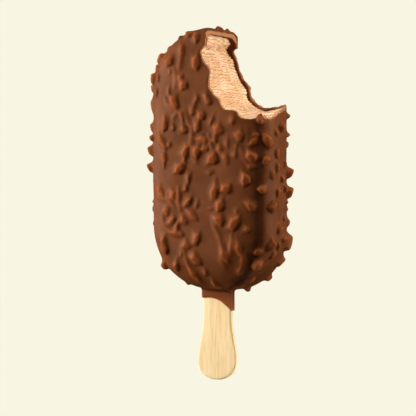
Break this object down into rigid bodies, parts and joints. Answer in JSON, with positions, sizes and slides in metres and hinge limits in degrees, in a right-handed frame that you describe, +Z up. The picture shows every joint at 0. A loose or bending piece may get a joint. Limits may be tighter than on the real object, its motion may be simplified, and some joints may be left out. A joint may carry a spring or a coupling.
{
  "type": "ice cream bar",
  "caption": "Milk chocolate ice cream bar with chopped nuts in its coating, bitten at a top corner, on a flat wooden stick.",
  "frame": {"origin": "under the middle of the whole bar with its stick, in the plane that it lies on", "axes": "+Z up, out of the front of the bar, which lies on its back; +Y from the stick toward the bitten top; +X to the right seen from the front"},
  "size_m": [0.0582, 0.1388, 0.03],
  "materials": {
    "chocolate": "milk chocolate with a soft sheen over chopped nuts",
    "ice_cream": "soft caramel-coloured ice cream, rippled where it was bitten",
    "wood": "pale bare wood with fine lengthwise grain"
  },
  "bodies": {
    "root": {"coating": "chocolate", "ice_cream": "ice_cream", "stick": "wood"}
  },
  "joints": []
}
